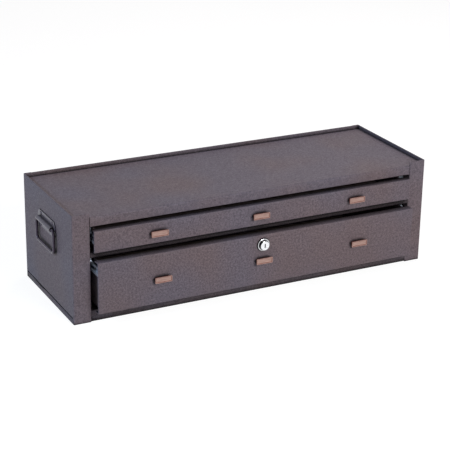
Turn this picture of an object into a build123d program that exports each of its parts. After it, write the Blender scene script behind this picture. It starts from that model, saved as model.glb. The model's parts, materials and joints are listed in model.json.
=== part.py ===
"""Two-drawer base cabinet for a machinist's tool chest, folded from sheet steel.

The origin is on the floor under the middle of the case. +X is to the right, the drawers open
towards -Y and +Z is up. Both drawers stand slightly open, as they do at rest. Millimetres.
"""

import os

from build123d import *

# Case
CASE_WIDTH = 714.0
CASE_DEPTH = 241.0
CASE_HEIGHT = 203.0
CASE_SHEET = 1.2
CASE_BEND = 2.0
RIM_HEIGHT = 7.4
POST_WIDTH = 33.0
JAMB_DEPTH = 28.0
BACK_FLANGE = 14.0
WALL_FOOT = 12.5
WALL_FOOT_INSET = 3.5
PAN_SIDE_GAP = 1.0
HEM_ROUND = 1.0

# Front of the case, as heights above the floor
RAIL_TOP = 22.0
RAIL_DEPTH = 15.0
DIVIDER_BOTTOM = 119.9
DIVIDER_TOP = 131.0
DIVIDER_DEPTH = 15.5
OPENING_TOP = 177.4
HEADER_FOLD = 4.0
HEADER_RETURN = 15.0
RETURN_LIP = 5.0
FRAME_SETBACK = 0.4
HEADER_JOINT = 0.5
TOP_FLANGE = 12.0

# Drawers: each front's lower and upper edge, its slide's height and how far it stands open
DRAWERS = {
    "upper": {"bottom": 131.7, "top": 171.9, "slide": 156.7, "open": 9.5},
    "lower": {"bottom": 22.8, "top": 118.3, "slide": 101.9, "open": 24.0},
}
FRONT_WIDTH = 640.0
FRONT_RETURN = 15.0
FRONT_HEM = 8.0
TRAY_SHEET = 1.0
TRAY_LENGTH = 225.0
TRAY_HEM = 8.0
TRAY_TOP_GAP = 2.0
TRAY_BOTTOM_GAP = 0.8
TRAY_WALL_FLANGE = 10.0
LINER_THICKNESS = 1.2
LINER_MARGIN = 1.0

# Slides: three folded members, each one sheet and one gap inside the last
SLIDE_SHEET = 1.5
SLIDE_GAP = 0.6
SLIDE_HALF_HEIGHT = 12.8
SLIDE_LIP = 3.0
SLIDE_BEND = 1.9
SLIDE_INNER_BEND = 0.4
CABINET_SLIDE_START = 20.0
CABINET_SLIDE_LENGTH = 194.5
MIDDLE_SLIDE_START = 26.0
MIDDLE_SLIDE_LENGTH = 187.5
DRAWER_SLIDE_START = 2.7
DRAWER_SLIDE_LENGTH = 216.0
BRACKET_FLANGE = 20.0
BRACKET_GAP = 0.5

# Pulls
PULL_CENTRES = {"left": -200.0, "centre": 0.0, "right": 200.0}
PULL_WIDTH = 32.5
PULL_HEIGHT = 10.8
PULL_PLATE = 2.6
PULL_RIM = 1.2
PULL_DISH = 0.7
PULL_DISH_SLOPE = 45
PULL_NECK_WIDTH = 26.0
PULL_NECK_HEIGHT = 5.0
PULL_NECK_DEPTH = 5.6
PULL_SCREW_SPACING = 14.0
PULL_SCREW_RADIUS = 1.5
PULL_SCREW_HEAD_RADIUS = 3.0
PULL_SCREW_HEAD = 1.8
PULL_SCREW_DEPTH = 4.5

# Lock
LOCK_HEIGHT = 99.9
LOCK_RING_RADIUS = 12.5
LOCK_RING_DEPTH = 3.0
LOCK_RING_CROWN = 2.0
LOCK_BARREL_RADIUS = 9.0
LOCK_BARREL_PROUD = 8.0
LOCK_BARREL_EDGE = 1.2
LOCK_BARREL_BEHIND = 17.0
LOCK_BARREL_FLATS = 16.0
LOCK_PLUG_RADIUS = 6.0
LOCK_RUNNING_FIT = 0.05
LOCK_FIT = 0.1
LOCK_NUT_FLATS = 23.0
LOCK_NUT_SIDES = 6
LOCK_NUT_DEPTH = 4.0
KEYWAY_WIDTH = 2.2
KEYWAY_HEIGHT = 8.0
KEYWAY_DEPTH = 14.0
CAM_THICKNESS = 2.5
CAM_WIDTH = 12.0
CAM_REACH = 26.0
CAM_TENON = 7.0
CAM_CLEAR = 0.3
CAM_SCREW_RADIUS = 2.0
CAM_SCREW_DEPTH = 8.0
CAM_SCREW_HEAD_RADIUS = 4.5
CAM_SCREW_HEAD = 2.5

# End handles
HANDLE_HEIGHT = 148.0
HANDLE_PLATE_LENGTH = 88.0
HANDLE_PLATE_HEIGHT = 30.0
HANDLE_PLATE_SHEET = 1.5
HANDLE_PLATE_CHAMFER = 8.0
HUMP_LENGTH = 67.0
HUMP_CLEARANCE = 0.3
WIRE_RADIUS = 2.75
WIRE_OFF_WALL = 4.6
BAIL_WIDTH = 86.0
BAIL_DROP = 42.5
BAIL_CORNER = 9.0
HANDLE_RIVET_X = 28.0
HANDLE_RIVET_Z = 10.0

# Rivets
RIVET_RADIUS = 2.0
RIVET_FIT = 0.05
RIVET_HEAD_RADIUS = 3.4
RIVET_HEAD = 1.3
RIVET_CROWN = 0.8
RIVET_TAIL_RADIUS = 3.0
RIVET_TAIL = 0.8
SLIDE_RIVET_STARTS = (24.0, 196.0)

# Planes and lengths that follow from the sizes above
CASE_HALF = CASE_WIDTH / 2
FRONT_Y = -CASE_DEPTH / 2
BACK_Y = CASE_DEPTH / 2
INNER_HALF = CASE_HALF - CASE_SHEET
INNER_BEND = CASE_BEND - CASE_SHEET
BETWEEN_BENDS = INNER_HALF - INNER_BEND
PAN_HALF = INNER_HALF - PAN_SIDE_GAP
HEM_HALF = INNER_HALF - CASE_SHEET
BACK_INNER_Y = BACK_Y - 2 * CASE_SHEET
HEM_BACK_Y = BACK_INNER_Y - CASE_SHEET
OPENING_HALF = CASE_HALF - POST_WIDTH
TOP_Z = CASE_HEIGHT - RIM_HEIGHT
HEM_BOTTOM = TOP_Z - TOP_FLANGE
FRAME_Y = FRONT_Y + FRAME_SETBACK
PAN_FRONT_Y = FRONT_Y + CASE_SHEET
SLIDE_STEP = SLIDE_SHEET + SLIDE_GAP
SLIDE_WIDTH = 6 * SLIDE_SHEET + 5 * SLIDE_GAP
TRAY_HALF = OPENING_HALF - SLIDE_WIDTH
TRAY_INNER_HALF = TRAY_HALF - TRAY_SHEET
CABINET_SLIDE_END_Y = FRONT_Y + CABINET_SLIDE_START + CABINET_SLIDE_LENGTH
SIDES = {"left": -1, "right": 1}


def facing_front(y):
    """Section plane across the case: local x is X, local y is Z, and it faces the front."""
    return Plane(origin=(0, y, 0), x_dir=(1, 0, 0), z_dir=(0, -1, 0))


def facing_right(x):
    """Section plane along the case: local x is Y, local y is Z, and it faces the right."""
    return Plane(origin=(x, 0, 0), x_dir=(0, 1, 0), z_dir=(1, 0, 0))


def folded(points, bends, sheet, side):
    """Outline of a folded sheet, from the corners of one of its faces and its bend radii."""
    with BuildLine() as edge:
        FilletPolyline(*points, radius=bends)
        offset(amount=sheet, side=side)
    return edge.line


def keep(piece, name):
    """Labels a finished piece and writes it out."""
    piece.part.label = name
    export_step(piece.part, f"parts/{name}.step")


def front_y(drawer):
    """The plane of a drawer front's face, at the distance that the drawer stands open."""
    return FRONT_Y - DRAWERS[drawer]["open"]


# Case sides


def make_sides():
    plan = [
        (-OPENING_HALF, FRONT_Y + JAMB_DEPTH),
        (-OPENING_HALF, FRONT_Y),
        (-CASE_HALF, FRONT_Y),
        (-CASE_HALF, BACK_Y),
        (-CASE_HALF + BACK_FLANGE, BACK_Y),
    ]
    rivet_spots = [(y, HANDLE_HEIGHT + z) for y, z in handle_rivet_spots()]
    with BuildPart() as left:
        with BuildSketch():
            make_face(folded(plan, CASE_BEND, CASE_SHEET, Side.RIGHT))
        extrude(amount=CASE_HEIGHT)
        # The wall stops above the floor between its two corners, where the base pan shows
        with BuildSketch():
            with Locations((-CASE_HALF, FRONT_Y + WALL_FOOT_INSET)):
                foot_length = CASE_DEPTH - 2 * WALL_FOOT_INSET
                Rectangle(CASE_SHEET, foot_length, align=(Align.MIN, Align.MIN))
        extrude(amount=WALL_FOOT, mode=Mode.SUBTRACT)
        # The jamb is folded back only beside the drawer opening
        for start, height in ((0, RAIL_TOP), (OPENING_TOP, CASE_HEIGHT - OPENING_TOP)):
            with BuildSketch(Plane.XY.offset(start)):
                with Locations((-OPENING_HALF, PAN_FRONT_Y)):
                    Rectangle(CASE_BEND, JAMB_DEPTH, align=(Align.MAX, Align.MIN))
            extrude(amount=height, mode=Mode.SUBTRACT)
        outer_rim = left.edges().filter_by(Axis.Y).group_by(Axis.Z)[-1].sort_by(Axis.X)[0]
        fillet(outer_rim, radius=HEM_ROUND)
        # The rim is hemmed: the sheet is turned over and runs down inside, past the top panel
        with BuildSketch(facing_front(BACK_INNER_Y)) as hem:
            with Locations((-INNER_HALF, HEM_BOTTOM)):
                Rectangle(CASE_SHEET, CASE_HEIGHT - HEM_BOTTOM, align=(Align.MIN, Align.MIN))
            fillet(hem.vertices().group_by(Axis.X)[-1].sort_by(Axis.Y)[-1], radius=HEM_ROUND)
        extrude(amount=BACK_INNER_Y - PAN_FRONT_Y)
        with BuildSketch(facing_right(-CASE_HALF)):
            with Locations(*rivet_spots):
                Circle(RIVET_RADIUS + RIVET_FIT)
        extrude(amount=CASE_SHEET, mode=Mode.SUBTRACT)
    keep(left, "left_side")
    with BuildPart() as right:
        mirror(left.part, about=Plane.YZ)
    keep(right, "right_side")


def make_back_panel():
    with BuildPart() as panel:
        with BuildSketch(facing_front(BACK_Y - CASE_SHEET)):
            with Locations((0, WALL_FOOT)):
                panel_height = CASE_HEIGHT - WALL_FOOT
                Rectangle(2 * BETWEEN_BENDS, panel_height, align=(Align.CENTER, Align.MIN))
        extrude(amount=CASE_SHEET)
        with BuildSketch(facing_front(BACK_INNER_Y)):
            with Locations((0, HEM_BOTTOM)):
                hem_height = CASE_HEIGHT - HEM_BOTTOM
                Rectangle(2 * HEM_HALF, hem_height, align=(Align.CENTER, Align.MIN))
        extrude(amount=CASE_SHEET)
        rim = panel.edges().filter_by(Axis.X).group_by(Axis.Z)[-1].sort_by(Axis.Y)
        fillet([rim[0], rim[-1]], radius=HEM_ROUND)
    keep(panel, "back_panel")


def make_top_panel():
    header_half = OPENING_HALF - HEADER_JOINT
    back_flange = [(HEM_BACK_Y, HEM_BOTTOM), (HEM_BACK_Y, TOP_Z)]
    wing = back_flange + [(FRONT_Y + CASE_BEND, TOP_Z)]
    middle = back_flange + [
        (FRAME_Y, TOP_Z),
        (FRAME_Y, OPENING_TOP),
        (FRAME_Y + HEADER_RETURN, OPENING_TOP),
        (FRAME_Y + HEADER_RETURN, OPENING_TOP + RETURN_LIP),
    ]
    with BuildPart() as panel:
        # The middle runs over the front edge and down as the header between the posts
        with BuildSketch(facing_right(0)):
            bends = [CASE_BEND, HEADER_FOLD, CASE_BEND, CASE_BEND]
            make_face(folded(middle, bends, CASE_SHEET, Side.LEFT))
        extrude(amount=header_half, both=True)
        # Behind each post the sheet runs out to the end wall, with a flange turned down along it
        for side in SIDES.values():
            with BuildSketch(facing_right(side * header_half)):
                make_face(folded(wing, CASE_BEND, CASE_SHEET, Side.LEFT))
            extrude(amount=side * (HEM_HALF - header_half))
            with BuildSketch(Plane.XY.offset(TOP_Z)):
                with Locations((side * (HEM_HALF - CASE_SHEET / 2), FRONT_Y + JAMB_DEPTH)):
                    flange_length = CASE_DEPTH - 2 * JAMB_DEPTH
                    Rectangle(CASE_SHEET, flange_length, align=(Align.CENTER, Align.MIN))
            extrude(amount=-TOP_FLANGE)
    keep(panel, "top_panel")


def make_base_pan():
    section = [
        (BACK_INNER_Y, RAIL_TOP),
        (BACK_INNER_Y, 0),
        (PAN_FRONT_Y, 0),
        (PAN_FRONT_Y, RAIL_TOP),
        (PAN_FRONT_Y + RAIL_DEPTH, RAIL_TOP),
        (PAN_FRONT_Y + RAIL_DEPTH, RAIL_TOP - RETURN_LIP),
    ]
    with BuildPart() as pan:
        with BuildSketch(facing_right(0)):
            make_face(folded(section, CASE_BEND, CASE_SHEET, Side.RIGHT))
        extrude(amount=PAN_HALF, both=True)
        # A flange along each side stands just behind the foot of the end wall
        for side in SIDES.values():
            with BuildSketch():
                with Locations((side * (PAN_HALF - CASE_SHEET / 2), FRONT_Y + CASE_BEND)):
                    flange_length = BACK_INNER_Y - FRONT_Y - CASE_BEND
                    Rectangle(CASE_SHEET, flange_length, align=(Align.CENTER, Align.MIN))
            extrude(amount=RAIL_TOP)
    keep(pan, "base_pan")


def make_divider_rail():
    """A channel between the drawers. The lock's cam turns up behind its lower flange."""
    section = [
        (FRAME_Y + DIVIDER_DEPTH, DIVIDER_BOTTOM),
        (FRAME_Y, DIVIDER_BOTTOM),
        (FRAME_Y, DIVIDER_TOP),
        (FRAME_Y + DIVIDER_DEPTH, DIVIDER_TOP),
    ]
    with BuildPart() as rail:
        with BuildSketch(facing_right(0)):
            make_face(folded(section, CASE_BEND, CASE_SHEET, Side.RIGHT))
        extrude(amount=OPENING_HALF, both=True)
    keep(rail, "divider_rail")


def make_slide_brackets():
    bracket_y = CABINET_SLIDE_END_Y
    plan = [
        (-INNER_HALF, bracket_y + BRACKET_FLANGE),
        (-INNER_HALF, bracket_y),
        (-OPENING_HALF - CASE_SHEET, bracket_y),
        (-OPENING_HALF - CASE_SHEET, bracket_y - BRACKET_FLANGE),
    ]
    bottom = RAIL_TOP + BRACKET_GAP
    with BuildPart() as left:
        with BuildSketch(Plane.XY.offset(bottom)):
            make_face(folded(plan, [CASE_BEND, INNER_BEND], CASE_SHEET, Side.LEFT))
        extrude(amount=HEM_BOTTOM - BRACKET_GAP - bottom)
    keep(left, "left_slide_bracket")
    with BuildPart() as right:
        mirror(left.part, about=Plane.YZ)
    keep(right, "right_slide_bracket")


# Slides


def slide_edge(member):
    """Half of a member's section as (distance from the case, height) and its bends.

    The lip at the open end of each member hooks over the next one in.
    """
    lip_end = 5 * SLIDE_STEP - SLIDE_GAP
    half = SLIDE_HALF_HEIGHT
    if member == "cabinet":
        lip_height = half - SLIDE_SHEET - SLIDE_LIP
        return [(lip_end, lip_height), (lip_end, half), (0, half)], [SLIDE_BEND, SLIDE_BEND]
    if member == "middle":
        half -= SLIDE_STEP
        lip_end -= SLIDE_STEP
        lip_height = half - SLIDE_SHEET - SLIDE_LIP
        corners = [(lip_end, lip_height), (lip_end, half), (SLIDE_STEP, half)]
        return corners, [SLIDE_BEND, SLIDE_BEND]
    lip_height = half - 2 * SLIDE_STEP
    flange_height = lip_height - SLIDE_LIP - SLIDE_SHEET
    web = SLIDE_WIDTH - SLIDE_SHEET
    corners = [(2 * SLIDE_STEP, lip_height), (2 * SLIDE_STEP, flange_height), (web, flange_height)]
    return corners, [SLIDE_BEND, SLIDE_INNER_BEND]


def make_slide(drawer, side, member, start_y, length, rivet_holes=()):
    """One slide member, as a folded section run back from start_y."""
    centre = DRAWERS[drawer]["slide"]
    corners, bends = slide_edge(member)
    mirrored = [(reach, -height) for reach, height in reversed(corners)]
    section = [
        (SIDES[side] * (OPENING_HALF - reach), centre + height)
        for reach, height in corners + mirrored
    ]
    inside = Side.RIGHT if SIDES[side] > 0 else Side.LEFT
    with BuildPart() as slide:
        with BuildSketch(facing_front(start_y)):
            make_face(folded(section, bends + bends[::-1], SLIDE_SHEET, inside))
        extrude(amount=-length)
        if rivet_holes:
            with BuildSketch(facing_right(SIDES[side] * (OPENING_HALF - SLIDE_WIDTH))):
                with Locations(*[(y, centre) for y in rivet_holes]):
                    Circle(RIVET_RADIUS + RIVET_FIT)
            extrude(amount=SIDES[side] * SLIDE_SHEET, mode=Mode.SUBTRACT)
    keep(slide, f"{drawer}_{side}_{member}_slide")


def slide_rivet_ys(drawer):
    return [front_y(drawer) + start for start in SLIDE_RIVET_STARTS]


def make_slides(drawer):
    opened = DRAWERS[drawer]["open"]
    for side in SIDES:
        make_slide(drawer, side, "cabinet", FRONT_Y + CABINET_SLIDE_START, CABINET_SLIDE_LENGTH)
        # A middle member travels half as far as its drawer
        middle_y = FRONT_Y + MIDDLE_SLIDE_START - opened / 2
        make_slide(drawer, side, "middle", middle_y, MIDDLE_SLIDE_LENGTH)
        drawer_y = front_y(drawer) + DRAWER_SLIDE_START
        holes = slide_rivet_ys(drawer)
        make_slide(drawer, side, "drawer", drawer_y, DRAWER_SLIDE_LENGTH, holes)


def make_slide_rivets(drawer):
    """Flat-tailed rivets through each drawer member and the side of the tray."""
    with BuildPart() as rivets:
        for side in SIDES.values():
            spots = [(y, DRAWERS[drawer]["slide"]) for y in slide_rivet_ys(drawer)]
            with BuildSketch(facing_right(side * TRAY_INNER_HALF)):
                with Locations(*spots):
                    Circle(RIVET_RADIUS)
            extrude(amount=side * (TRAY_SHEET + SLIDE_SHEET))
            with BuildSketch(facing_right(side * TRAY_INNER_HALF)):
                with Locations(*spots):
                    Circle(RIVET_TAIL_RADIUS)
            extrude(amount=-side * RIVET_TAIL)
            with BuildSketch(facing_right(side * (TRAY_HALF + SLIDE_SHEET))):
                with Locations(*spots):
                    Circle(RIVET_HEAD_RADIUS)
            extrude(amount=side * RIVET_HEAD)
        crowns = rivets.faces().filter_by(Axis.X).group_by(Axis.X)
        chamfer(crowns[0].edges() + crowns[-1].edges(), length=RIVET_CROWN)
    keep(rivets, f"{drawer}_slide_rivets")


# Drawers


def tray_levels(drawer):
    """The tray's underside and the top of its sides, between the front's two returns."""
    bottom = DRAWERS[drawer]["bottom"] + CASE_SHEET + TRAY_BOTTOM_GAP
    top = DRAWERS[drawer]["top"] - CASE_SHEET - TRAY_TOP_GAP
    return bottom, top


def make_drawer_front(drawer):
    face_y = front_y(drawer)
    bottom = DRAWERS[drawer]["bottom"]
    top = DRAWERS[drawer]["top"]
    half = FRONT_WIDTH / 2
    section = [
        (face_y + FRONT_RETURN, bottom),
        (face_y, bottom),
        (face_y, top),
        (face_y + FRONT_RETURN, top),
    ]
    screw_spots = [(x, (bottom + top) / 2) for x in pull_screw_xs()]
    with BuildPart() as front:
        with BuildSketch(facing_right(0)):
            make_face(folded(section, CASE_BEND, CASE_SHEET, Side.RIGHT))
        extrude(amount=half, both=True)
        # Each end is hemmed back on itself between the returns
        with BuildSketch(facing_front(face_y + CASE_SHEET)):
            with Locations((-half, (bottom + top) / 2), (half - FRONT_HEM, (bottom + top) / 2)):
                hem_height = top - bottom - 2 * CASE_SHEET
                Rectangle(FRONT_HEM, hem_height, align=(Align.MIN, Align.CENTER))
        extrude(amount=-CASE_SHEET)
        ends = front.edges().filter_by(Axis.Z).group_by(Axis.Y)[0]
        fillet(ends, radius=HEM_ROUND)
        with BuildSketch(facing_front(face_y)):
            with Locations(*screw_spots):
                Circle(PULL_SCREW_RADIUS + RIVET_FIT)
        extrude(amount=-CASE_SHEET, mode=Mode.SUBTRACT)
        if drawer == "lower":
            with BuildSketch(lock_plane(0)):
                lock_barrel_outline(LOCK_FIT)
            extrude(amount=-CASE_SHEET, mode=Mode.SUBTRACT)
    keep(front, f"{drawer}_drawer_front")


def tray_back_y(drawer):
    return front_y(drawer) + CASE_SHEET + TRAY_LENGTH


def make_tray_walls(drawer):
    """Each side wall is hemmed inwards at the top and has a flange under the tray's floor."""
    start_y = front_y(drawer) + CASE_SHEET
    bottom, top = tray_levels(drawer)
    section = [
        (-TRAY_HALF + TRAY_WALL_FLANGE, bottom),
        (-TRAY_HALF, bottom),
        (-TRAY_HALF, top),
    ]
    with BuildPart() as left:
        with BuildSketch(facing_front(start_y)):
            make_face(folded(section, CASE_BEND, TRAY_SHEET, Side.RIGHT))
        extrude(amount=-TRAY_LENGTH)
        with BuildSketch(facing_front(start_y)):
            with Locations((-TRAY_INNER_HALF, top)):
                Rectangle(TRAY_SHEET, TRAY_HEM, align=(Align.MIN, Align.MAX))
        extrude(amount=2 * TRAY_SHEET - TRAY_LENGTH)
        with BuildSketch(facing_right(-TRAY_HALF)):
            with Locations(*[(y, DRAWERS[drawer]["slide"]) for y in slide_rivet_ys(drawer)]):
                Circle(RIVET_RADIUS + RIVET_FIT)
        extrude(amount=TRAY_SHEET, mode=Mode.SUBTRACT)
    keep(left, f"{drawer}_drawer_left_wall")
    with BuildPart() as right:
        mirror(left.part, about=Plane.YZ)
    keep(right, f"{drawer}_drawer_right_wall")


def make_tray_back(drawer):
    """The back stands on the floor between the walls, and is hemmed forwards at the top."""
    back_y = tray_back_y(drawer)
    bottom, top = tray_levels(drawer)
    with BuildPart() as back:
        with BuildSketch(facing_front(back_y)):
            with Locations((0, top)):
                back_height = top - bottom - 2 * TRAY_SHEET
                Rectangle(2 * TRAY_INNER_HALF, back_height, align=(Align.CENTER, Align.MAX))
        extrude(amount=TRAY_SHEET)
        with BuildSketch(facing_front(back_y - TRAY_SHEET)):
            with Locations((0, top)):
                Rectangle(2 * TRAY_INNER_HALF, TRAY_HEM, align=(Align.CENTER, Align.MAX))
        extrude(amount=TRAY_SHEET)
    keep(back, f"{drawer}_drawer_back")


def make_tray_floor(drawer):
    start_y = front_y(drawer) + CASE_SHEET
    bottom, _ = tray_levels(drawer)
    with BuildPart() as floor:
        with BuildSketch(Plane.XY.offset(bottom + TRAY_SHEET)):
            with Locations((0, start_y)):
                floor_width = 2 * (TRAY_HALF - CASE_BEND)
                Rectangle(floor_width, TRAY_LENGTH, align=(Align.CENTER, Align.MIN))
        extrude(amount=TRAY_SHEET)
    keep(floor, f"{drawer}_drawer_floor")


def make_liner(drawer):
    bottom, _ = tray_levels(drawer)
    start_y = front_y(drawer) + CASE_SHEET + LINER_MARGIN
    width = 2 * (TRAY_INNER_HALF - LINER_MARGIN)
    length = TRAY_LENGTH - TRAY_SHEET - 2 * LINER_MARGIN
    with BuildPart() as liner:
        with BuildSketch(Plane.XY.offset(bottom + 2 * TRAY_SHEET)):
            with Locations((0, start_y)):
                Rectangle(width, length, align=(Align.CENTER, Align.MIN))
        extrude(amount=LINER_THICKNESS)
    keep(liner, f"{drawer}_drawer_liner")


# Pulls


def pull_screw_xs():
    """Two screws behind each pull."""
    reach = PULL_SCREW_SPACING / 2
    return [centre + offset_x for centre in PULL_CENTRES.values() for offset_x in (-reach, reach)]


def make_pull(drawer, place):
    face_y = front_y(drawer)
    centre = (PULL_CENTRES[place], (DRAWERS[drawer]["bottom"] + DRAWERS[drawer]["top"]) / 2)
    plate_y = face_y - PULL_NECK_DEPTH
    with BuildPart() as pull:
        with BuildSketch(facing_front(face_y)):
            with Locations(centre):
                RectangleRounded(PULL_NECK_WIDTH, PULL_NECK_HEIGHT, radius=PULL_RIM)
        extrude(amount=PULL_NECK_DEPTH)
        with BuildSketch(facing_front(plate_y)):
            with Locations(centre):
                RectangleRounded(PULL_WIDTH, PULL_HEIGHT, radius=PULL_RIM)
        extrude(amount=PULL_PLATE)
        # The face is dished inside a narrow rim
        with BuildSketch(facing_front(plate_y - PULL_PLATE)):
            with Locations(centre):
                Rectangle(PULL_WIDTH - 2 * PULL_RIM, PULL_HEIGHT - 2 * PULL_RIM)
        extrude(amount=-PULL_DISH, taper=PULL_DISH_SLOPE, mode=Mode.SUBTRACT)
        with BuildSketch(facing_front(face_y)):
            for offset_x in (-PULL_SCREW_SPACING / 2, PULL_SCREW_SPACING / 2):
                with Locations((centre[0] + offset_x, centre[1])):
                    Circle(PULL_SCREW_RADIUS + RIVET_FIT)
        extrude(amount=PULL_SCREW_DEPTH, mode=Mode.SUBTRACT)
    keep(pull, f"{drawer}_{place}_pull")


def make_pull_screws(drawer):
    """Pan-head screws from inside the drawer front into the necks of the pulls."""
    face_y = front_y(drawer)
    middle = (DRAWERS[drawer]["bottom"] + DRAWERS[drawer]["top"]) / 2
    spots = [(x, middle) for x in pull_screw_xs()]
    with BuildPart() as screws:
        with BuildSketch(facing_front(face_y + CASE_SHEET)):
            with Locations(*spots):
                Circle(PULL_SCREW_HEAD_RADIUS)
        extrude(amount=-PULL_SCREW_HEAD)
        crowns = screws.faces().group_by(Axis.Y)[-1].edges()
        chamfer(crowns, length=PULL_SCREW_HEAD / 2)
        with BuildSketch(facing_front(face_y + CASE_SHEET)):
            with Locations(*spots):
                Circle(PULL_SCREW_RADIUS)
        extrude(amount=CASE_SHEET + PULL_SCREW_DEPTH - RIVET_FIT)
    keep(screws, f"{drawer}_pull_screws")


# Lock


def lock_barrel_outline(clearance):
    """Round with two flats, so that the barrel can't turn in the drawer front."""
    Circle(LOCK_BARREL_RADIUS + clearance)
    flats = LOCK_BARREL_FLATS + 2 * clearance
    Rectangle(2 * LOCK_RING_RADIUS, flats, mode=Mode.INTERSECT)


def lock_plane(behind_face):
    """Plane across the lock, at a distance behind the lower drawer's face, centred on the lock."""
    return Plane(
        origin=(0, front_y("lower") + behind_face, LOCK_HEIGHT),
        x_dir=(1, 0, 0),
        z_dir=(0, -1, 0),
    )


def make_lock_ring():
    with BuildPart() as ring:
        with BuildSketch(lock_plane(0)):
            Circle(LOCK_RING_RADIUS)
            Circle(LOCK_BARREL_RADIUS + LOCK_FIT, mode=Mode.SUBTRACT)
        extrude(amount=LOCK_RING_DEPTH)
        outer_edge = ring.faces().sort_by(Axis.Y)[0].edges().sort_by(SortBy.LENGTH)[-1]
        fillet(outer_edge, radius=LOCK_RING_CROWN)
    keep(ring, "lock_ring")


def make_lock_barrel():
    with BuildPart() as barrel:
        with BuildSketch(lock_plane(0)):
            Circle(LOCK_BARREL_RADIUS)
        extrude(amount=LOCK_BARREL_PROUD)
        front_edge = barrel.faces().sort_by(Axis.Y)[0].edges()
        fillet(front_edge, radius=LOCK_BARREL_EDGE)
        with BuildSketch(lock_plane(0)):
            lock_barrel_outline(0)
        extrude(amount=-LOCK_BARREL_BEHIND)
        with BuildSketch(lock_plane(-LOCK_BARREL_PROUD)):
            Circle(LOCK_PLUG_RADIUS)
        extrude(amount=-LOCK_BARREL_PROUD - LOCK_BARREL_BEHIND, mode=Mode.SUBTRACT)
    keep(barrel, "lock_barrel")


def make_lock_nut():
    with BuildPart() as nut:
        with BuildSketch(lock_plane(CASE_SHEET)):
            RegularPolygon(LOCK_NUT_FLATS / 2, LOCK_NUT_SIDES, major_radius=False)
            Circle(LOCK_BARREL_RADIUS + LOCK_FIT, mode=Mode.SUBTRACT)
        extrude(amount=-LOCK_NUT_DEPTH)
    keep(nut, "lock_nut")


def make_lock_plug():
    radius = LOCK_PLUG_RADIUS - LOCK_RUNNING_FIT
    length = LOCK_BARREL_PROUD + LOCK_BARREL_BEHIND + CAM_CLEAR
    with BuildPart() as plug:
        with BuildSketch(lock_plane(-LOCK_BARREL_PROUD)):
            Circle(radius)
        extrude(amount=-length)
        with BuildSketch(lock_plane(LOCK_BARREL_BEHIND + CAM_CLEAR)):
            Rectangle(CAM_TENON, CAM_TENON)
        extrude(amount=-CAM_THICKNESS)
        with BuildSketch(lock_plane(-LOCK_BARREL_PROUD)):
            SlotOverall(KEYWAY_HEIGHT, KEYWAY_WIDTH, rotation=90)
        extrude(amount=-KEYWAY_DEPTH, mode=Mode.SUBTRACT)
        with BuildSketch(lock_plane(LOCK_BARREL_BEHIND + CAM_CLEAR + CAM_THICKNESS)):
            Circle(CAM_SCREW_RADIUS + RIVET_FIT)
        extrude(amount=CAM_SCREW_DEPTH, mode=Mode.SUBTRACT)
    keep(plug, "lock_plug")


def make_lock_cam():
    """A flat bar on the plug's square tenon. Unlocked, it points to the right."""
    end_radius = CAM_WIDTH / 2
    with BuildPart() as cam:
        with BuildSketch(lock_plane(LOCK_BARREL_BEHIND + CAM_CLEAR)):
            SlotCenterPoint(((CAM_REACH - end_radius) / 2, 0), (CAM_REACH - end_radius, 0), CAM_WIDTH)
            Rectangle(CAM_TENON + LOCK_FIT, CAM_TENON + LOCK_FIT, mode=Mode.SUBTRACT)
        extrude(amount=-CAM_THICKNESS)
    keep(cam, "lock_cam")


def make_cam_screw():
    head_plane = lock_plane(LOCK_BARREL_BEHIND + CAM_CLEAR + CAM_THICKNESS)
    with BuildPart() as screw:
        with BuildSketch(head_plane):
            Circle(CAM_SCREW_HEAD_RADIUS)
        extrude(amount=-CAM_SCREW_HEAD)
        crown = screw.faces().sort_by(Axis.Y)[-1].edges()
        chamfer(crown, length=CAM_SCREW_HEAD / 2)
        with BuildSketch(head_plane):
            Circle(CAM_SCREW_RADIUS)
        extrude(amount=CAM_SCREW_DEPTH - CAM_CLEAR)
    keep(screw, "lock_cam_screw")


# End handles


def handle_rivet_spots():
    """Rivets above and below the hump, as (along the wall, height from the pivot)."""
    return [(y, z) for y in (-HANDLE_RIVET_X, HANDLE_RIVET_X) for z in (-HANDLE_RIVET_Z, HANDLE_RIVET_Z)]


def hump_outline(radius):
    """Half-round bridge over the bail's top wire, with legs that reach back to the wall."""
    wire_x = -CASE_HALF - WIRE_OFF_WALL
    with Locations((wire_x, HANDLE_HEIGHT)):
        Circle(radius)
        Rectangle(WIRE_OFF_WALL, 2 * radius, align=(Align.MIN, Align.CENTER))


def make_handle_plates():
    inner_radius = WIRE_RADIUS + HUMP_CLEARANCE
    with BuildPart() as left:
        with BuildSketch(facing_right(-CASE_HALF)) as outline:
            with Locations((0, HANDLE_HEIGHT)):
                Rectangle(HANDLE_PLATE_LENGTH, HANDLE_PLATE_HEIGHT)
            chamfer(outline.vertices(), length=HANDLE_PLATE_CHAMFER)
        extrude(amount=-HANDLE_PLATE_SHEET)
        with BuildSketch(facing_front(HUMP_LENGTH / 2)):
            hump_outline(inner_radius + HANDLE_PLATE_SHEET)
        extrude(amount=HUMP_LENGTH)
        with BuildSketch(facing_front(HUMP_LENGTH / 2)):
            hump_outline(inner_radius)
        extrude(amount=HUMP_LENGTH, mode=Mode.SUBTRACT)
        with BuildSketch(facing_right(-CASE_HALF)):
            with Locations(*[(y, HANDLE_HEIGHT + z) for y, z in handle_rivet_spots()]):
                Circle(RIVET_RADIUS + RIVET_FIT)
        extrude(amount=-HANDLE_PLATE_SHEET, mode=Mode.SUBTRACT)
    keep(left, "left_handle_plate")
    with BuildPart() as right:
        mirror(left.part, about=Plane.YZ)
    keep(right, "right_handle_plate")


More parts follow.
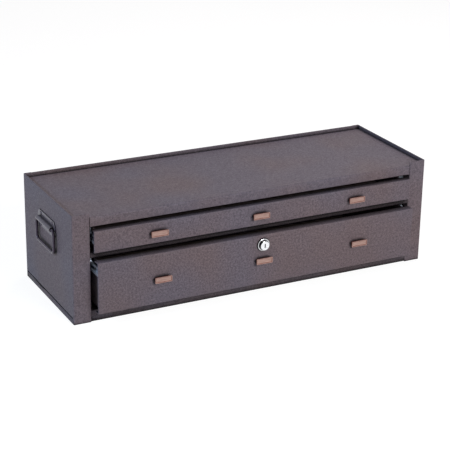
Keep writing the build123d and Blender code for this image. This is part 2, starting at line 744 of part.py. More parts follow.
def make_handle_bails():
    """A closed loop of round wire. Its top run turns inside the hump of the plate."""
    half = BAIL_WIDTH / 2
    low = HANDLE_HEIGHT - BAIL_DROP
    corners = [(half, HANDLE_HEIGHT), (half, low), (-half, low), (-half, HANDLE_HEIGHT)]
    with BuildPart() as left:
        with BuildLine(facing_right(-CASE_HALF - WIRE_OFF_WALL)) as loop:
            FilletPolyline(*corners, radius=BAIL_CORNER, close=True)
        path = loop.wire()
        with BuildSketch(Plane(origin=path @ 0, z_dir=path % 0)):
            Circle(WIRE_RADIUS)
        sweep(path=path)
    keep(left, "left_handle_bail")
    with BuildPart() as right:
        mirror(left.part, about=Plane.YZ)
    keep(right, "right_handle_bail")


def make_handle_rivets():
    spots = [(y, HANDLE_HEIGHT + z) for y, z in handle_rivet_spots()]
    with BuildPart() as left:
        with BuildSketch(facing_right(-INNER_HALF)):
            with Locations(*spots):
                Circle(RIVET_RADIUS)
        extrude(amount=-CASE_SHEET - HANDLE_PLATE_SHEET)
        with BuildSketch(facing_right(-INNER_HALF)):
            with Locations(*spots):
                Circle(RIVET_TAIL_RADIUS)
        extrude(amount=RIVET_TAIL)
        with BuildSketch(facing_right(-CASE_HALF - HANDLE_PLATE_SHEET)):
            with Locations(*spots):
                Circle(RIVET_HEAD_RADIUS)
        extrude(amount=-RIVET_HEAD)
        crowns = left.faces().filter_by(Axis.X).group_by(Axis.X)[0].edges()
        chamfer(crowns, length=RIVET_CROWN)
    keep(left, "left_handle_rivets")
    with BuildPart() as right:
        mirror(left.part, about=Plane.YZ)
    keep(right, "right_handle_rivets")


def main():
    os.makedirs("parts", exist_ok=True)
    make_sides()
    make_back_panel()
    make_top_panel()
    make_base_pan()
    make_divider_rail()
    make_slide_brackets()
    for drawer in DRAWERS:
        make_slides(drawer)
        make_slide_rivets(drawer)
        make_drawer_front(drawer)
        make_tray_walls(drawer)
        make_tray_back(drawer)
        make_tray_floor(drawer)
        make_liner(drawer)
        for place in PULL_CENTRES:
            make_pull(drawer, place)
        make_pull_screws(drawer)
    make_lock_ring()
    make_lock_barrel()
    make_lock_nut()
    make_lock_plug()
    make_lock_cam()
    make_cam_screw()
    make_handle_plates()
    make_handle_bails()
    make_handle_rivets()


main()
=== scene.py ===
# %% [markdown]
# # A machinist's base cabinet
#
# The cabinet is a folded sheet-steel case with two drawers, six small pulls, a cam lock and a
# bail handle on each end. Its working solids come from the imported model and are never moved.
# This lesson gives them their finishes, and makes nine of them anew with more form: the base pan,
# the rivets, the pull screws and the felt liners.
#
# We start by loading the frame.

# %% Load the frame
import json
from math import atan2, cos, pi, radians

import bmesh
import bpy
from mathutils import Euler, Matrix, Vector, noise


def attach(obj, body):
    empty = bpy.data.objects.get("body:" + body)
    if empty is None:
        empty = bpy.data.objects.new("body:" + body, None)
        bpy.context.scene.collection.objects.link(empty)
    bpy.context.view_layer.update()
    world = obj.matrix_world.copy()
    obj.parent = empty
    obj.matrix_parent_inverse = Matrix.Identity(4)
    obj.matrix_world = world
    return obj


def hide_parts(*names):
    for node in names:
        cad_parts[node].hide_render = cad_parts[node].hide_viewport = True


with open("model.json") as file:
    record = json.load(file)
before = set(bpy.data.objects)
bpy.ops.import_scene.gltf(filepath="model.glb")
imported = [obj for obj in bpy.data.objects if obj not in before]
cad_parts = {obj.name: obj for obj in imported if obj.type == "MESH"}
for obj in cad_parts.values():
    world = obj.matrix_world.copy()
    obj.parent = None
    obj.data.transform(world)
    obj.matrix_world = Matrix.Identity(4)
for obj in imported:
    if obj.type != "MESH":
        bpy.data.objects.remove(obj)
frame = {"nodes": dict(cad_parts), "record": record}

MM = 0.001
scene = bpy.context.scene
nodes = frame["nodes"]
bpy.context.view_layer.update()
print(len(nodes), "nodes loaded")

# %% [markdown]
# ## Colours and shader nodes
#
# Paint charts and colour pickers give sRGB hex values, while shaders calculate in linear light.
# One function turns the first into the second. Another adds a shader node with its settings
# and links in a single call, so that a material reads from top to bottom like a recipe.

# %% Helpers for materials


def linear(hex_colour):
    """Linear RGBA of an sRGB hex colour such as "6a6166"."""
    channels = [int(hex_colour[i:i + 2], 16) / 255 for i in (0, 2, 4)]
    lit = [c / 12.92 if c <= 0.04045 else ((c + 0.055) / 1.055) ** 2.4 for c in channels]
    return (*lit, 1.0)


def add(tree, kind, inputs=None, **settings):
    """Adds a shader node. An input is a value, or the output of another node to link."""
    node = tree.nodes.new("ShaderNode" + kind)
    for name, value in settings.items():
        setattr(node, name, value)
    for name, value in (inputs or {}).items():
        if isinstance(value, bpy.types.NodeSocket):
            tree.links.new(value, node.inputs[name])
        else:
            node.inputs[name].default_value = value
    return node


def start_material(name):
    """A new material: its node tree, its shader and the place on the object, in metres."""
    material = bpy.data.materials.new(name)
    material.use_nodes = True
    tree = material.node_tree
    shader = tree.nodes["Principled BSDF"]
    place = add(tree, "TexCoord").outputs["Object"]
    return material, tree, shader, place


def ramp(tree, factor, *stops):
    """Colour output that runs through (position, hex colour) stops as the factor goes 0 to 1."""
    node = add(tree, "ValToRGB", {"Fac": factor})
    elements = node.color_ramp.elements
    while len(elements) < len(stops):
        elements.new(0.5)
    for element, (position, hex_colour) in zip(elements, stops):
        element.position = position
        element.color = linear(hex_colour)
    return node.outputs["Color"]


# %% [markdown]
# ## Wrinkle enamel
#
# The case is sprayed with an enamel that shrinks as it bakes, so its skin puckers into a maze of
# ridges about a millimetre apart. It looks matt and a little soft, and hides spot welds and
# fingerprints. A Voronoi pattern would give closed cells like leather. Real wrinkles wander and
# join, and the sine of a smooth noise does that: each level line of the noise becomes a ridge.
#
# At the size of the photograph a ridge is smaller than a pixel, so a second, coarser mottle
# carries the texture to the eye.
#
# In corners, under lips and along seams the paint gets painted shade: the ambient occlusion node
# finds those places, and a dark colour goes over them where shade would fall. How far the painted
# shade reaches depends on the place, so the same paint is made four times. The case has it only in
# its corners, while the drawer fronts have it along their turned-in lips too. The pan's sides have
# it only in their narrow seam, so that the nearby floor doesn't darken them, and the rail between
# the drawers lies so deep that most of it gets painted shade.

# %% Wrinkle enamel
RIDGE_SPACING = 1.1 * MM
MOTTLE_SIZE = 3.8 * MM
CLOUD_SIZE = 140 * MM
BLOB_IN_SPACINGS = 3.2
LEVEL_LINES = 26.0
RIDGE_SHARE = 0.22
MOTTLE_SHARE = 0.78
WRINKLE_DEPTH = 0.35 * MM
WRINKLE_SPECULAR = 0.12
# Colour of the painted shade
PAINTED_SHADE_COLOUR = "120e10"
PAINT_THROUGH_SHADE = 0.03
BROWNS = ("554d52", "6b6267", "80767b")

# The painted shade's reach on faces along X, Y and Z
CORNER = (8 * MM, 8 * MM, 8 * MM)
CORNER_AND_LIP = (8 * MM, 8 * MM, 30 * MM)
SEAM_AND_CORNER = (2 * MM, 15 * MM, 10 * MM)
OVERHANG = (30 * MM, 30 * MM, 30 * MM)

# Each painted shade is its reach, then the open shares at which it is darkest and at which it ends
CASE_SHADE = (CORNER, 0.45, 0.85)
FRONT_SHADE = (CORNER_AND_LIP, 0.45, 0.85)
PAN_SHADE = (SEAM_AND_CORNER, 0.6, 0.95)
RAIL_SHADE = (OVERHANG, 0.66, 1.0)


def wrinkle_ridges(tree, place, spacing):
    """Height of the wrinkles, from 0 in the valleys to 1 on the ridges."""
    swell = add(tree, "TexNoise", {
        "Vector": place, "Scale": 1 / (BLOB_IN_SPACINGS * spacing), "Detail": 2.0,
        "Roughness": 0.45,
    })
    levels = add(tree, "Math", {0: swell.outputs["Fac"], 1: LEVEL_LINES}, operation="MULTIPLY")
    wave = add(tree, "Math", {0: levels.outputs["Value"]}, operation="SINE")
    return add(tree, "MapRange", {
        "Value": wave.outputs["Value"], "From Min": -1.0, "From Max": 1.0,
    }).outputs["Result"]


def painted_corner_shade(tree, clean, reaches, low, high):
    """The clean colour with painted shade where the surface lies close under or beside another.

    The reaches are how far the painted shade comes on faces that look along X, Y and Z. It is dark
    where the open share of the surroundings is low, and clean where it is high.
    """
    normal = add(tree, "TexCoord").outputs["Normal"]
    turned = add(tree, "VectorMath", {0: normal}, operation="ABSOLUTE").outputs["Vector"]
    reach = add(tree, "VectorMath", {0: turned, 1: reaches}, operation="DOT_PRODUCT")
    open_share = add(tree, "AmbientOcclusion", {"Distance": reach.outputs["Value"]}, samples=12)
    unshaded_share = add(tree, "MapRange", {
        "Value": open_share.outputs["AO"], "From Min": low, "From Max": high,
        "To Min": PAINT_THROUGH_SHADE, "To Max": 1.0,
    }).outputs["Result"]
    return add(tree, "Mix", {"Factor": unshaded_share, "A": linear(PAINTED_SHADE_COLOUR), "B": clean},
               data_type="RGBA").outputs["Result"]


def wrinkle_enamel(name, painted_shade):
    """Baked wrinkle enamel: matt brown, with ridges that catch the light a little."""
    valley, body, ridge = BROWNS
    material, tree, shader, place = start_material(name)
    ridges = wrinkle_ridges(tree, place, RIDGE_SPACING)
    mottle = add(tree, "TexNoise", {
        "Vector": place, "Scale": 1 / MOTTLE_SIZE, "Detail": 3.0, "Roughness": 0.6,
    }).outputs["Fac"]
    cloud = add(tree, "TexNoise", {
        "Vector": place, "Scale": 1 / CLOUD_SIZE, "Detail": 1.0,
    }).outputs["Fac"]
    fine = add(tree, "Math", {0: ridges, 1: RIDGE_SHARE}, operation="MULTIPLY").outputs["Value"]
    spread = add(tree, "Math", {0: mottle, 1: MOTTLE_SHARE, 2: fine}, operation="MULTIPLY_ADD")
    paint = ramp(tree, spread.outputs["Value"], (0.22, valley), (0.5, body), (0.8, ridge))
    tint = ramp(tree, cloud, (0.35, "f4f6ff"), (0.65, "fff4f0"))
    colour = add(tree, "Mix", {"Factor": 1.0, "A": paint, "B": tint},
                 data_type="RGBA", blend_type="MULTIPLY")
    # Painted shade in corners, under lips and along seams
    painted = painted_corner_shade(tree, colour.outputs["Result"], *painted_shade)
    tree.links.new(painted, shader.inputs["Base Color"])
    shine = add(tree, "MapRange", {
        "Value": ridges, "To Min": 0.63, "To Max": 0.47,
    })
    tree.links.new(shine.outputs["Result"], shader.inputs["Roughness"])
    shader.inputs["Specular IOR Level"].default_value = WRINKLE_SPECULAR
    bump = add(tree, "Bump", {"Height": spread.outputs["Value"], "Strength": 0.5,
                              "Distance": WRINKLE_DEPTH})
    tree.links.new(bump.outputs["Normal"], shader.inputs["Normal"])
    return material


# Four copies of one enamel that differ only in their painted shade
case_enamel = wrinkle_enamel("wrinkle_enamel_case", CASE_SHADE)
front_enamel = wrinkle_enamel("wrinkle_enamel_fronts", FRONT_SHADE)
pan_enamel = wrinkle_enamel("wrinkle_enamel_pan", PAN_SHADE)
shaded_rail_enamel = wrinkle_enamel("wrinkle_enamel_rail_shaded", RAIL_SHADE)
for enamel in (case_enamel, front_enamel, pan_enamel, shaded_rail_enamel):
    print("made", enamel.name)

# %% [markdown]
# ## Smooth enamel
#
# The handles are dipped in a smooth enamel, the bails and rivets in a darker one than their
# plates. It flows out level, so its reflections are sharp where the wire and the sleeve bend.
# They are kept faint, because the white surroundings would otherwise wash out its dark colour.

# %% Smooth enamel
FLOW_SIZE = 9 * MM
FLOW_DEPTH = 0.2 * MM
SMOOTH_SPECULAR = 0.2
# Painted shade in the handles' corners
HANDLE_SHADE = (CORNER, 0.35, 0.9)


def smooth_enamel(name, dark, light):
    """Dipped enamel: even in colour, with the long shallow waves of paint that has flowed."""
    material, tree, shader, place = start_material(name)
    flow = add(tree, "TexNoise", {
        "Vector": place, "Scale": 1 / FLOW_SIZE, "Detail": 2.0,
    }).outputs["Fac"]
    clean = ramp(tree, flow, (0.3, dark), (0.7, light))
    # Painted shade in the corners
    painted = painted_corner_shade(tree, clean, *HANDLE_SHADE)
    tree.links.new(painted, shader.inputs["Base Color"])
    shine = add(tree, "MapRange", {"Value": flow, "To Min": 0.12, "To Max": 0.22})
    tree.links.new(shine.outputs["Result"], shader.inputs["Roughness"])
    shader.inputs["Specular IOR Level"].default_value = SMOOTH_SPECULAR
    bump = add(tree, "Bump", {"Height": flow, "Strength": 0.15, "Distance": FLOW_DEPTH})
    tree.links.new(bump.outputs["Normal"], shader.inputs["Normal"])
    return material


handle_enamel = smooth_enamel("smooth_enamel_dark", "4a3c46", "5e4f5a")
plate_enamel = smooth_enamel("smooth_enamel_brown", "5c5057", "6c6068")
for enamel in (handle_enamel, plate_enamel):
    print("made", enamel.name)

# %% [markdown]
# ## Plated metals
#
# Zinc plate on the slides is a thin, faintly blue crystal skin with fine drawing marks along
# its length. The screws and the slides' rivets have a greyer plate without the marks. The colour
# of a metal is the colour of its reflection, and the rest of the look is roughness.

# %% Plated metals
DRAW_MARK = 0.5 * MM
DRAW_DEPTH = 0.05 * MM
CRYSTAL_SIZE = 7 * MM
CRYSTAL_SHARE = 0.35


def plated_metal(name, dark, light, roughness, stretch, marks):
    """A plated metal whose marks run along Y, drawn out by stretch times their width."""
    material, tree, shader, place = start_material(name)
    along = add(tree, "Mapping", {"Vector": place, "Scale": (1.0, 1.0 / stretch, 1.0)})
    drawn = add(tree, "TexNoise", {
        "Vector": along.outputs["Vector"], "Scale": 1 / DRAW_MARK, "Detail": 2.0,
    }).outputs["Fac"]
    crystal = add(tree, "TexVoronoi", {"Vector": place, "Scale": 1 / CRYSTAL_SIZE})
    patch = add(tree, "Math", {0: crystal.outputs["Distance"], 1: CRYSTAL_SHARE, 2: drawn},
                operation="MULTIPLY_ADD").outputs["Value"]
    tree.links.new(ramp(tree, patch, (0.35, dark), (0.85, light)), shader.inputs["Base Color"])
    shader.inputs["Metallic"].default_value = 1.0
    shine = add(tree, "MapRange", {
        "Value": drawn, "To Min": roughness * 0.8, "To Max": roughness * 1.2,
    })
    tree.links.new(shine.outputs["Result"], shader.inputs["Roughness"])
    bump = add(tree, "Bump", {"Height": drawn, "Strength": marks, "Distance": DRAW_DEPTH})
    tree.links.new(bump.outputs["Normal"], shader.inputs["Normal"])
    return material


slide_zinc = plated_metal("zinc_plate_blue", "a9b1c0", "dbe1ea",
                          roughness=0.42, stretch=40, marks=0.4)
fastener_zinc = plated_metal("zinc_plate_fasteners", "9a9b9d", "c4c5c8",
                             roughness=0.3, stretch=1, marks=0.2)
for metal in (slide_zinc, fastener_zinc):
    print("made", metal.name)

# %% [markdown]
# ## Faces and edges
#
# The pulls have pale bronze faces and dark brown sides. The lock is polished chrome. The
# photograph shows its face bright and its edge nearly black, and our plain white surroundings
# have nothing dark for the edge to mirror, so the edge gets a painted dark reflection. Both need a
# face of one colour and sides of another, and the surface normal tells them apart: a face that
# looks straight forward, towards -Y, is bright. Both also get painted shade in their corners.

# %% Rubbed bronze and chrome
RUB_MARK = 1.2 * MM
RUB_DEPTH = 0.03 * MM
SIDE_STARTS = -0.7
FACE_STARTS = -0.95
# Painted shade round the pulls and the lock
PULL_SHADE = (CORNER, 0.0, 0.5)
LOCK_SHADE = (CORNER, 0.5, 1.0)


def faced_metal(name, side, low, high, metallic, roughness, painted_shade):
    """A metal with bright faces towards the front, mottled from low to high, and dark sides."""
    material, tree, shader, place = start_material(name)
    normal = add(tree, "TexCoord").outputs["Normal"]
    forward = add(tree, "SeparateXYZ", {"Vector": normal}).outputs["Y"]
    facing = add(tree, "MapRange", {
        "Value": forward, "From Min": SIDE_STARTS, "From Max": FACE_STARTS,
    })
    along = add(tree, "Mapping", {"Vector": place, "Scale": (0.15, 1.0, 1.0)})
    marks = add(tree, "TexNoise", {
        "Vector": along.outputs["Vector"], "Scale": 1 / RUB_MARK, "Detail": 3.0,
    }).outputs["Fac"]
    face = ramp(tree, marks, (0.3, low), (0.7, high))
    colour = add(tree, "Mix", {"Factor": facing.outputs["Result"], "A": linear(side), "B": face},
                 data_type="RGBA")
    # Painted shade in the corners
    shaded_colour = painted_corner_shade(tree, colour.outputs["Result"], *painted_shade)
    tree.links.new(shaded_colour, shader.inputs["Base Color"])
    shader.inputs["Metallic"].default_value = metallic
    shine = add(tree, "MapRange", {
        "Value": marks, "To Min": roughness * 0.85, "To Max": roughness * 1.15,
    })
    tree.links.new(shine.outputs["Result"], shader.inputs["Roughness"])
    bump = add(tree, "Bump", {"Height": marks, "Strength": 0.2, "Distance": RUB_DEPTH})
    tree.links.new(bump.outputs["Normal"], shader.inputs["Normal"])
    return material


pull_bronze = faced_metal("bronze_rubbed", "6b372e", "93756c", "b09187",
                          metallic=0.6, roughness=0.5, painted_shade=PULL_SHADE)
# The lock's near-black side colour is a painted dark reflection
lock_chrome = faced_metal("chrome_polished", "141416", "e6e6e9", "f6f6f8",
                          metallic=1.0, roughness=0.16, painted_shade=LOCK_SHADE)
for metal in (pull_bronze, lock_chrome):
    print("made", metal.name)

# %% [markdown]
# ## Felt
#
# The trays are lined with pressed wool felt. It has no weave: short fibres lie in every
# direction, so the surface is cloudy and dull, with a soft sheen at grazing angles.

# %% Felt
FIBRE_SIZE = 0.9 * MM
FIBRE_DEPTH = 0.5 * MM


def pressed_felt(name, dark, light):
    """Pressed wool felt: cloudy and dull, with fibres that glow faintly at the edges."""
    material, tree, shader, place = start_material(name)
    fibres = add(tree, "TexNoise", {
        "Vector": place, "Scale": 1 / FIBRE_SIZE, "Detail": 4.0, "Roughness": 0.7,
        "Distortion": 1.5,
    }).outputs["Fac"]
    tree.links.new(ramp(tree, fibres, (0.3, dark), (0.7, light)), shader.inputs["Base Color"])
    shader.inputs["Roughness"].default_value = 0.95
    shader.inputs["Sheen Weight"].default_value = 0.12
    shader.inputs["Sheen Roughness"].default_value = 0.5
    bump = add(tree, "Bump", {"Height": fibres, "Strength": 0.6, "Distance": FIBRE_DEPTH})
    tree.links.new(bump.outputs["Normal"], shader.inputs["Normal"])
    return material


liner_felt = pressed_felt("pressed_felt_brown", "35231a", "573e30")
print("made", liner_felt.name)

# %% [markdown]
# ## Finishes on the solids
#
# The imported record says which finish each solid has. A material goes into each solid's slots,
# and the mesh itself stays as it is. The rail and the drawer fronts then get copies of the enamel
# with more painted shade, and the handle plates a smooth enamel.

# %% Dress the solids
FINISHES = {
    "case_enamel": case_enamel,
    "handle_enamel": handle_enamel,
    "slide_zinc": slide_zinc,
    "pull_bronze": pull_bronze,
    "lock_chrome": lock_chrome,
    "fastener_zinc": fastener_zinc,
    "liner_felt": liner_felt,
}
for subpart in frame["record"]["subparts"]:
    solid = nodes[subpart["node"]]
    for material_slot in solid.material_slots:
        material_slot.material = FINISHES[subpart["material_slot"]]
# The rail's copy of the enamel is mostly painted shade
nodes["divider_rail"].material_slots[0].material = shaded_rail_enamel
for drawer in ("upper", "lower"):
    nodes[drawer + "_drawer_front"].material_slots[0].material = front_enamel
for side_name in ("left", "right"):
    nodes[side_name + "_handle_plate"].material_slots[0].material = plate_enamel
print("dressed", len(nodes), "solids")

# %% [markdown]
# ## Turned pieces
#
# Rivets and screws are round, so each is a profile of (radius, distance along its axis) that is
# spun once round the axis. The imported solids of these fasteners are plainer. Ours have domed or
# crossed heads, and they stand in for those solids, in the same holes.

# %% Helpers for pieces
ROUND_STEPS = 32
WELD_DISTANCE = 0.001 * MM


def put_in_scene(name, data):
    """A new object at the origin, linked to the scene."""
    thing = bpy.data.objects.new(name, data)
    scene.collection.objects.link(thing)
    return thing


def spin_profile(shape, profile, centre, axis):
    """Adds a closed turned form to a bmesh. Its profile starts and ends on the axis."""
    axis = Vector(axis)
    outward = Vector((0, 0, 1))
    ring = [shape.verts.new(Vector(centre) + outward * r + axis * t) for r, t in profile]
    edges = [shape.edges.new(pair) for pair in zip(ring, ring[1:])]
    bmesh.ops.spin(shape, geom=ring + edges, cent=centre, axis=axis, dvec=(0, 0, 0),
                   angle=2 * pi, steps=ROUND_STEPS, use_merge=True)


def make_piece(shape, name, material, slot_name, body, *replaced):
    """Turns a bmesh into a piece that rides on a body and stands for the replaced solids."""
    bmesh.ops.remove_doubles(shape, verts=shape.verts, dist=WELD_DISTANCE)
    bmesh.ops.recalc_face_normals(shape, faces=shape.faces)
    mesh = bpy.data.meshes.new(name)
    shape.to_mesh(mesh)
    shape.free()
    mesh.materials.append(material)
    piece = put_in_scene(name, mesh)
    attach(piece, body)
    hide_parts(*replaced)
    return piece


def smooth_by_angle(piece, degrees):
    """Shades the piece smoothly, apart from edges that turn by more than the angle."""
    piece.data.shade_smooth()
    piece.data.set_sharp_from_angle(angle=radians(degrees))


# %% [markdown]
# ## Base pan
#
# Under each end wall the pan's flange comes out flush with the wall, and a thin seam runs between
# the two, dark from its own shadow and from painted shade. The solid's flange is straight, so we
# copy its mesh, cut it along the seam and along both ends of the skirt, and push the part below
# the seam outwards by the step.

# %% Base pan with its flush skirts
FLANGE_INNER_X = 353.5 * MM
SKIRT_STEP = 2.2 * MM
SKIRT_TOP = 9.6 * MM
STEP_TOP = 9.8 * MM
SKIRT_HALF = 115.8 * MM
STEP_HALF = 116.4 * MM
CUT_DISTANCE = 0.0001 * MM
CUT_SLACK = 0.01 * MM

pan_shape = bmesh.new()
pan_shape.from_mesh(nodes["base_pan"].data)
bmesh.ops.remove_doubles(pan_shape, verts=pan_shape.verts, dist=WELD_DISTANCE)
cuts = [(Vector((0, 0, height)), (0, 0, 1)) for height in (SKIRT_TOP, STEP_TOP)]
for end in (-STEP_HALF, -SKIRT_HALF, SKIRT_HALF, STEP_HALF):
    cuts.append((Vector((0, end, 0)), (0, 1, 0)))
for point, normal in cuts:
    everything = [*pan_shape.verts, *pan_shape.edges, *pan_shape.faces]
    bmesh.ops.bisect_plane(pan_shape, geom=everything, dist=CUT_DISTANCE, plane_co=point,
                           plane_no=normal)
for vert in pan_shape.verts:
    on_flange = abs(vert.co.x) > FLANGE_INNER_X and abs(vert.co.y) < SKIRT_HALF + CUT_SLACK
    if on_flange and vert.co.z < SKIRT_TOP + CUT_SLACK:
        vert.co.x += SKIRT_STEP if vert.co.x > 0 else -SKIRT_STEP
pan = make_piece(pan_shape, "base_pan_skirted", pan_enamel, "case_enamel", "case", "base_pan")
smooth_by_angle(pan, degrees=30)
print("pan skirts made")

# %% [markdown]
# ## Rivets
#
# A slide rivet goes through the zinc member and the wall of the tray, and its flat tail is
# upset inside. A handle rivet has the same form and holds the plate to the end wall.

# %% Rivets
RIVET_SHANK = 2.0 * MM
RIVET_HEAD = ((3.4 * MM, 0.0), (3.3 * MM, 0.45 * MM), (2.8 * MM, 0.85 * MM),
              (1.6 * MM, 1.2 * MM), (0.0, 1.3 * MM))
RIVET_TAIL = ((0.0, -0.8 * MM), (2.3 * MM, -0.75 * MM), (2.9 * MM, -0.45 * MM), (3.0 * MM, 0.0))
TRAY_INNER_X = 311.0 * MM
SLIDE_GRIP = 2.5 * MM
WALL_INNER_X = 355.8 * MM
HANDLE_GRIP = 2.7 * MM


def rivet(shape, centre, axis, grip):
    """A rivet whose tail lies at the centre and whose head is a grip's length along the axis."""
    head = [(radius, grip + height) for radius, height in RIVET_HEAD]
    shank = [(RIVET_SHANK, 0.0), (RIVET_SHANK, grip)]
    spin_profile(shape, [*RIVET_TAIL, *shank, *head], centre, axis)


# Where the rivets are, in millimetres
SLIDE_RIVETS = {
    "upper": {"y": (-106.0, 66.0), "z": 156.7},
    "lower": {"y": (-120.5, 51.5), "z": 101.9},
}
HANDLE_RIVETS = [(y, z) for y in (-28.0, 28.0) for z in (138.0, 158.0)]

for drawer, spots in SLIDE_RIVETS.items():
    shape = bmesh.new()
    for side in (-1, 1):
        for y in spots["y"]:
            centre = (side * TRAY_INNER_X, y * MM, spots["z"] * MM)
            rivet(shape, centre, (side, 0, 0), SLIDE_GRIP)
    rivets = make_piece(shape, drawer + "_slide_rivets_domed", fastener_zinc, "fastener_zinc",
                        drawer + "_drawer", drawer + "_slide_rivets")
    smooth_by_angle(rivets, degrees=40)

for side_name, side in (("left", -1), ("right", 1)):
    shape = bmesh.new()
    for y, z in HANDLE_RIVETS:
        rivet(shape, (side * WALL_INNER_X, y * MM, z * MM), (side, 0, 0), HANDLE_GRIP)
    rivets = make_piece(shape, side_name + "_handle_rivets_domed", handle_enamel,
                        "handle_enamel", "case", side_name + "_handle_rivets")
    smooth_by_angle(rivets, degrees=40)
print("rivets made")

# %% [markdown]
# ## Pull screws
#
# Two pan-head screws hold each pull from inside the drawer front. The profile dips at the middle
# of the head. Drawing the rim of that dip inwards, except at four points, makes the cross.

# %% Pull screws
SCREW_SHANK = 1.5 * MM
SCREW_GRIP = 5.65 * MM
RECESS_RADIUS = 1.5 * MM
RECESS_DEPTH = 1.1 * MM
RIM_SLACK = 0.01 * MM
RIM_BAND = (0.5 * RECESS_RADIUS, 1.1 * RECESS_RADIUS)
DRAWN_IN = 0.65
CROSS_SHARPNESS = 3
HEAD_TOP = 1.8 * MM
HEAD_PROFILE = ((3.0 * MM, 0.0), (2.95 * MM, 0.8 * MM), (2.4 * MM, 1.5 * MM), (1.9 * MM, HEAD_TOP))

# Where the screws are, and the sheet that they go through, in millimetres
PULL_SCREWS = {
    "upper": {"face_y": -130.0, "z": 151.8},
    "lower": {"face_y": -144.5, "z": 70.55},
}
PULL_CENTRES = (-200.0, 0.0, 200.0)
SCREW_OFFSETS = (-7.0, 7.0)
FRONT_SHEET = 1.2


def pinch(shape, centre, top):
    """Draws the recess's rim in towards its middle, except at the four ends of the cross."""
    for vert in shape.verts:
        spoke = vert.co - centre
        level, spoke.y = spoke.y, 0.0
        if level > top - RIM_SLACK and RIM_BAND[0] < spoke.length < RIM_BAND[1]:
            lobe = abs(cos(2 * atan2(spoke.z, spoke.x))) ** CROSS_SHARPNESS
            vert.co -= spoke * DRAWN_IN * (1 - lobe)


for drawer, spots in PULL_SCREWS.items():
    screws = bmesh.new()
    for pull_x in PULL_CENTRES:
        for offset in SCREW_OFFSETS:
            centre = Vector((pull_x + offset, spots["face_y"] + FRONT_SHEET, spots["z"])) * MM
            recess = [(RECESS_RADIUS, HEAD_TOP), (0.0, HEAD_TOP - RECESS_DEPTH)]
            shank = [(0.0, -SCREW_GRIP), (SCREW_SHANK, -SCREW_GRIP), (SCREW_SHANK, 0.0)]
            one = bmesh.new()
            spin_profile(one, [*shank, *HEAD_PROFILE, *recess], centre, (0, 1, 0))
            pinch(one, centre, HEAD_TOP)
            part_mesh = bpy.data.meshes.new("screw")
            one.to_mesh(part_mesh)
            one.free()
            screws.from_mesh(part_mesh)
            bpy.data.meshes.remove(part_mesh)
    piece = make_piece(screws, drawer + "_pull_screws_crossed", fastener_zinc, "fastener_zinc",
                       drawer + "_drawer", drawer + "_pull_screws")
    smooth_by_angle(piece, degrees=40)
print("pull screws made")

# %% [markdown]
# ## Felt liners
#
# Each tray has a sheet of felt cut a millimetre short of its walls and laid on the floor. Felt is
# never quite even: its top swells and sinks by a few tenths of a millimetre.

# %% Felt liners
# All in millimetres, apart from the cells and the ripples for each metre
FELT_WIDTH = 620.0
FELT_LENGTH = 222.0
FELT_THICKNESS = 1.2
FELT_LIFT = 0.35
FELT_CELLS = 62
RIPPLES = 30.0
LINERS = {
    "upper": {"front_y": -127.8, "floor_z": 135.7},
    "lower": {"front_y": -142.3, "floor_z": 26.8},
}
for drawer, spots in LINERS.items():
    felt = bmesh.new()
    bmesh.ops.create_grid(felt, x_segments=FELT_CELLS, y_segments=FELT_CELLS // 2, size=0.5)
    bmesh.ops.scale(felt, vec=(FELT_WIDTH * MM, FELT_LENGTH * MM, 1.0), verts=felt.verts)
    middle = Vector((0, spots["front_y"] + FELT_LENGTH / 2, spots["floor_z"])) * MM
    bmesh.ops.translate(felt, verts=felt.verts, vec=middle)
    below = felt.faces[:]
    above = bmesh.ops.extrude_face_region(felt, geom=below)["geom"]
    upper_verts = [item for item in above if isinstance(item, bmesh.types.BMVert)]
    for vert in upper_verts:
        ripple = noise.noise(Vector((vert.co.x, vert.co.y, spots["floor_z"])) * RIPPLES)
        vert.co.z += (FELT_THICKNESS - FELT_LIFT * (0.5 + ripple)) * MM
    liner = make_piece(felt, drawer + "_felt", liner_felt, "liner_felt", drawer + "_drawer",
                       drawer + "_drawer_liner")
    smooth_by_angle(liner, degrees=50)
print("felt laid")

# %% [markdown]
# ## Camera
#
# The camera is fitted to the corners of the case in the photograph, and its place is given from
# the point that it looks at. It stands above and to the left of the front, nearly three metres
# away with a long lens. The photograph's upright edges converge a little less than ours. A
# shifted lens would straighten them, but it would push the cabinet off centre in other views.

# %% Camera
FOCAL_PIXELS = 1478.7
IMAGE_PIXELS = 450
SENSOR_WIDTH = 36.0
AZIMUTH = radians(-27.034)
ELEVATION = radians(21.521)
ROLL = radians(0.881)
LOOK_AT = Vector((-4.3, -0.5, 86.6)) * MM
CAMERA_DISTANCE = 2786.8 * MM
CAMERA_REACH = 50.0

camera_data = bpy.data.cameras.new("camera")
camera_data.sensor_width = SENSOR_WIDTH
camera_data.lens = FOCAL_PIXELS / IMAGE_PIXELS * SENSOR_WIDTH
camera_data.clip_end = CAMERA_REACH
camera = put_in_scene("camera", camera_data)
turn = Euler((pi / 2 - ELEVATION, 0, AZIMUTH)).to_matrix() @ Matrix.Rotation(ROLL, 3, "Z")
stand = LOOK_AT + turn @ Vector((0, 0, CAMERA_DISTANCE))
camera.matrix_world = Matrix.Translation(stand) @ turn.to_4x4()
scene.camera = camera
print("camera", round(camera_data.lens, 1), "mm")

# %% [markdown]
# ## Floor and light
#
# The floor and the backdrop are white to the camera and to shiny surfaces, so that chrome has
# something bright to mirror. To soft light the world is nearly dark: it would otherwise fill the
# gaps round the drawers. The floor is mostly its own glow and partly a lit surface, so it keeps a
# faint shadow.

# %% Floor and world
FLOOR_SIZE = 12.0
FLOOR_DROP = 0.2 * MM
FLOOR_GLOW = 1.25
GLOW_SHARE = 0.72
WORLD_LIGHT = 0.05


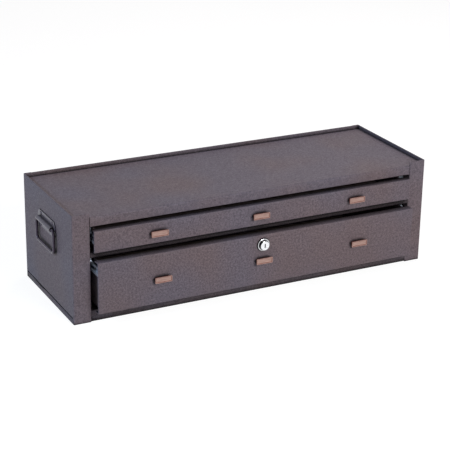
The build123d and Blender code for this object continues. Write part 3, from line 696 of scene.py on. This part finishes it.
def camera_or_mirror(tree):
    """1 for rays from the camera, or from glossy and clear surfaces, and 0 for soft light."""
    rays = add(tree, "LightPath").outputs
    seen = add(tree, "Math", {0: rays["Is Camera Ray"], 1: rays["Is Glossy Ray"]},
               operation="MAXIMUM")
    return add(tree, "Math", {0: seen.outputs["Value"], 1: rays["Is Transmission Ray"]},
               operation="MAXIMUM").outputs["Value"]


def white_floor():
    """Matt white paper that mostly glows for the camera and mirrors, and is lit for the rest."""
    material, tree, shader, place = start_material("white_sweep")
    grain = add(tree, "TexNoise", {"Vector": place, "Scale": 4.0}).outputs["Fac"]
    paper = ramp(tree, grain, (0.0, "e4e4e4"), (1.0, "ebebeb"))
    tree.links.new(paper, shader.inputs["Base Color"])
    shader.inputs["Roughness"].default_value = 0.9
    glow = add(tree, "Emission", {"Color": (1, 1, 1, 1), "Strength": FLOOR_GLOW})
    share = add(tree, "MapRange", {"Value": camera_or_mirror(tree), "To Max": GLOW_SHARE})
    mix = add(tree, "MixShader", {
        "Fac": share.outputs["Result"], 1: shader.outputs["BSDF"], 2: glow.outputs["Emission"],
    })
    tree.links.new(mix.outputs["Shader"], tree.nodes["Material Output"].inputs["Surface"])
    return material


sweep = bmesh.new()
bmesh.ops.create_grid(sweep, x_segments=1, y_segments=1, size=FLOOR_SIZE / 2)
bmesh.ops.translate(sweep, verts=sweep.verts, vec=(0, 0, -FLOOR_DROP))
floor_mesh = bpy.data.meshes.new("floor")
sweep.to_mesh(floor_mesh)
sweep.free()
floor_mesh.materials.append(white_floor())
floor = put_in_scene("floor", floor_mesh)

world = bpy.data.worlds.new("studio")
world.use_nodes = True
scene.world = world
background = world.node_tree.nodes["Background"]
background.inputs["Color"].default_value = (1, 1, 1, 1)
strength = add(world.node_tree, "MapRange", {
    "Value": camera_or_mirror(world.node_tree), "To Min": WORLD_LIGHT, "To Max": 1.0,
})
world.node_tree.links.new(strength.outputs["Result"], background.inputs["Strength"])
print("floor and world made")

# %% [markdown]
# A soft box stands in front of the cabinet and above it, and lights the drawer fronts. A weaker,
# cool one lights the left end. A warm one behind and to the right lights the top, more at its
# far end, and can't reach the gaps above the drawers, because the case stands in its way.

# %% Lamps
# Each lamp's place and size in metres, its power in watts and its colour
LAMPS = {
    "key_light": ((0.4, -2.6, 1.5), (1.0, 0.5), 57, "ffffff"),
    "cool_light": ((-2.4, -0.1, 1.5), (0.7, 0.4), 33, "c4e2ff"),
    "top_light": ((1.3, 1.1, 1.7), (1.2, 0.6), 15, "ffeae8"),
}


def soft_box(name, place, size, power, tint):
    """A rectangular lamp that points at the middle of the cabinet."""
    lamp = bpy.data.lights.new(name, "AREA")
    lamp.shape = "RECTANGLE"
    lamp.size, lamp.size_y = size
    lamp.energy = power
    lamp.color = linear(tint)[:3]
    box = put_in_scene(name, lamp)
    box.location = place
    towards = LOOK_AT - Vector(place)
    box.rotation_euler = towards.to_track_quat("-Z", "Y").to_euler()


for lamp_name, settings in LAMPS.items():
    soft_box(lamp_name, *settings)
print(len(LAMPS), "soft boxes")

# %% [markdown]
# ## Look through it
#
# The standard view transform shows colours as they are written.

# %% Finish
scene.view_settings.view_transform = "Standard"
